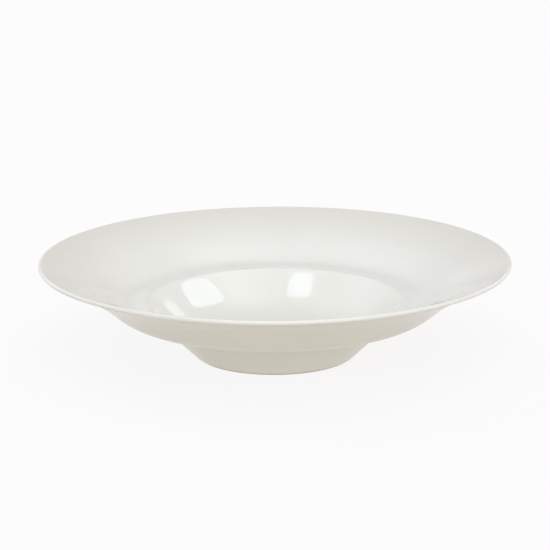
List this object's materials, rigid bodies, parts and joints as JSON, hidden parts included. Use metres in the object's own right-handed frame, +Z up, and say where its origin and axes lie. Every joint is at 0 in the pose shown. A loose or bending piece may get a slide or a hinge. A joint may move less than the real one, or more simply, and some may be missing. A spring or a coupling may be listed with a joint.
{
  "type": "pasta bowl",
  "caption": "Round glazed ceramic bowl with a wide curved rim, a level ledge round a deep central well, and a narrow foot ring; holds a portion of pasta or soup.",
  "frame": {"origin": "middle of the circle on which the foot ring stands, at table height", "axes": "+Z up along the bowl's axis of revolution; +X and +Y are alike, because the bowl is round"},
  "size_m": [0.28, 0.28, 0.0585],
  "materials": {
    "biscuit_clay": "fired, bare and matt, fine grain",
    "white_glaze": "glossy opaque warm white",
    "base_glaze": "glossy opaque warm white, thinner than the main coat"
  },
  "bodies": {
    "root": {"clay_body": "biscuit_clay", "glaze_coat": "white_glaze", "base_glaze": "base_glaze"}
  },
  "joints": []
}
